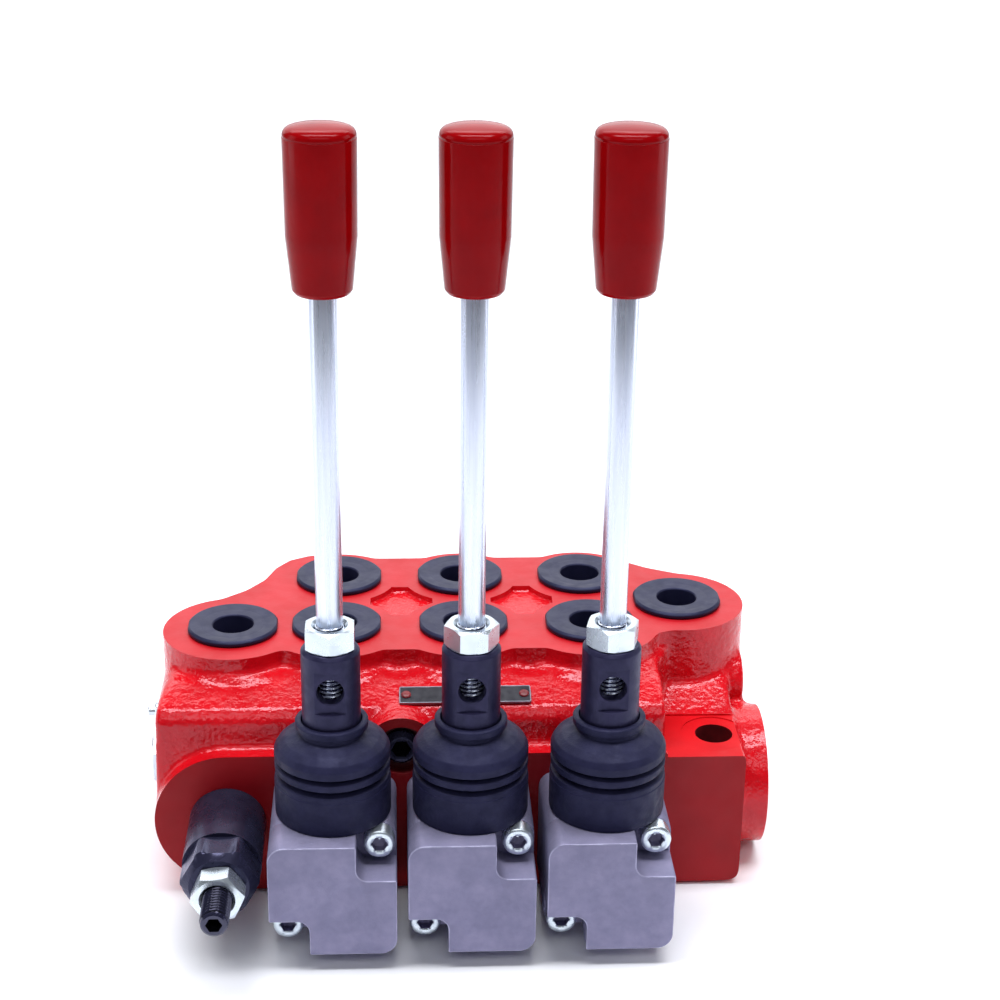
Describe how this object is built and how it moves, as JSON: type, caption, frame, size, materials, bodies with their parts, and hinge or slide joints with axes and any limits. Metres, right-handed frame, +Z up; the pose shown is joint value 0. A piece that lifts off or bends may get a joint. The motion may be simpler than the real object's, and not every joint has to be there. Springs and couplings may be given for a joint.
{
  "type": "hydraulic monoblock valve",
  "caption": "Hydraulic monoblock directional valve with tilting hand levers in rubber boots, plugged ports on its deck and an adjustable relief valve beside them.",
  "frame": {"origin": "on the base plane under the feet, straight below the A port of the middle section", "axes": "+X from the inlet end to the outlet end, +Y from the levers to the end caps, +Z up along the levers"},
  "size_m": [0.1836, 0.21, 0.23],
  "materials": {
    "housing_paint": "glossy red enamel over rough iron casting, matt on the machined faces",
    "plate_black": "black printed foil with a bright edge, no lettering",
    "rivet_red": "overpainted drive rivets",
    "plug_plastic": "fine-grained moulded black polyethylene",
    "zinc": "bright zinc plating",
    "rod_zinc": "bright zinc plated drawn bar",
    "black_steel": "black oxide, oiled",
    "socket_black": "black oxide, satin",
    "ground_steel": "ground steel",
    "spring_steel": "oil-tempered spring wire",
    "seal_rubber": "smooth nitrile rubber",
    "boot_rubber": "moulded black rubber, dusty in the folds",
    "cast_alloy": "fine bead-blasted aluminium casting",
    "knob_red": "glossy moulded red phenolic"
  },
  "bodies": {
    "root": {"valve_body": "housing_paint", "name_plate": "plate_black", "name_plate_rivets": "rivet_red", "port_plugs": "plug_plastic", "side_port_plug": "zinc", "side_plugs": "zinc", "gallery_plug": "black_steel", "relief_cartridge": "black_steel", "relief_jam_nut": "zinc", "relief_spring": "spring_steel", "check_plug": "zinc", "check_spring": "spring_steel", "box_screws": "zinc", "end_cap_screws": "zinc", "spool_seals": "seal_rubber", "lever_box_1": "cast_alloy", "pivot_pin_1": "ground_steel", "boot_1": "boot_rubber", "centering_spring_1": "spring_steel", "spring_seat_inner_1": "ground_steel", "spring_seat_outer_1": "ground_steel", "end_cap_1": "cast_alloy", "lever_box_2": "cast_alloy", "pivot_pin_2": "ground_steel", "boot_2": "boot_rubber", "centering_spring_2": "spring_steel", "spring_seat_inner_2": "ground_steel", "spring_seat_outer_2": "ground_steel", "end_cap_2": "cast_alloy", "lever_box_3": "cast_alloy", "pivot_pin_3": "ground_steel", "boot_3": "boot_rubber", "centering_spring_3": "spring_steel", "spring_seat_inner_3": "ground_steel", "spring_seat_outer_3": "ground_steel", "end_cap_3": "cast_alloy"},
    "lever_1": {"lever_socket_1": "socket_black", "lever_rod_1": "rod_zinc", "lever_nut_1": "zinc", "knob_1": "knob_red"},
    "spool_1": {"spool_1": "ground_steel", "spool_bolt_1": "black_steel"},
    "lever_2": {"lever_socket_2": "socket_black", "lever_rod_2": "rod_zinc", "lever_nut_2": "zinc", "knob_2": "knob_red"},
    "spool_2": {"spool_2": "ground_steel", "spool_bolt_2": "black_steel"},
    "lever_3": {"lever_socket_3": "socket_black", "lever_rod_3": "rod_zinc", "lever_nut_3": "zinc", "knob_3": "knob_red"},
    "spool_3": {"spool_3": "ground_steel", "spool_bolt_3": "black_steel"},
    "relief_carrier": {"relief_spring_seat": "ground_steel"},
    "relief_adjuster": {"relief_screw": "black_steel"},
    "relief_poppet": {"relief_poppet": "ground_steel"},
    "check_poppet": {"check_poppet": "ground_steel"}
  },
  "joints": [
    {"name": "lever_1_tilt", "type": "hinge", "parent": "root", "child": "lever_1", "pos_m": [-0.038, -0.059, 0.046], "axis": [1, 0, 0], "range_deg": [-15.5, 15.5], "stiffness_Nm_per_rad": 8.4, "deforming": ["boot_1"]},
    {"name": "spool_1_stroke", "type": "slide", "parent": "root", "child": "spool_1", "axis": [0, 1, 0], "range_m": [-0.00642, 0.00642], "deforming": ["centering_spring_1", "spring_seat_inner_1", "spring_seat_outer_1"]},
    {"name": "lever_2_tilt", "type": "hinge", "parent": "root", "child": "lever_2", "pos_m": [0, -0.059, 0.046], "axis": [1, 0, 0], "range_deg": [-15.5, 15.5], "stiffness_Nm_per_rad": 8.4, "deforming": ["boot_2"]},
    {"name": "spool_2_stroke", "type": "slide", "parent": "root", "child": "spool_2", "axis": [0, 1, 0], "range_m": [-0.00642, 0.00642], "deforming": ["centering_spring_2", "spring_seat_inner_2", "spring_seat_outer_2"]},
    {"name": "lever_3_tilt", "type": "hinge", "parent": "root", "child": "lever_3", "pos_m": [0.038, -0.059, 0.046], "axis": [1, 0, 0], "range_deg": [-15.5, 15.5], "stiffness_Nm_per_rad": 8.4, "deforming": ["boot_3"]},
    {"name": "spool_3_stroke", "type": "slide", "parent": "root", "child": "spool_3", "axis": [0, 1, 0], "range_m": [-0.00642, 0.00642], "deforming": ["centering_spring_3", "spring_seat_inner_3", "spring_seat_outer_3"]},
    {"name": "relief_carrier_travel", "type": "slide", "parent": "root", "child": "relief_carrier", "axis": [0, 1, 0], "range_m": [-0.00125, 0.00375], "deforming": ["relief_spring"]},
    {"name": "relief_screw_turn", "type": "hinge", "parent": "relief_carrier", "child": "relief_adjuster", "pos_m": [-0.069, -0.085, 0.024], "axis": [0, 1, 0], "range_deg": [-361, 1081]},
    {"name": "relief_poppet_lift", "type": "slide", "parent": "root", "child": "relief_poppet", "axis": [0, -1, 0], "range_m": [0, 0.0015], "stiffness_N_per_m": 500, "springref_m": -0.01, "deforming": ["relief_spring"]},
    {"name": "check_poppet_lift", "type": "slide", "parent": "root", "child": "check_poppet", "axis": [0, 0, -1], "range_m": [0, 0.003], "stiffness_N_per_m": 300, "springref_m": -0.008, "deforming": ["check_spring"]}
  ],
  "couplings": [
    {"joint": "spool_1_stroke", "follows": "lever_1_tilt", "m_per_rad": 0.023708},
    {"joint": "spool_2_stroke", "follows": "lever_2_tilt", "m_per_rad": 0.023708},
    {"joint": "spool_3_stroke", "follows": "lever_3_tilt", "m_per_rad": 0.023708},
    {"joint": "relief_screw_turn", "follows": "relief_carrier_travel", "rad_per_m": 5026.5}
  ]
}
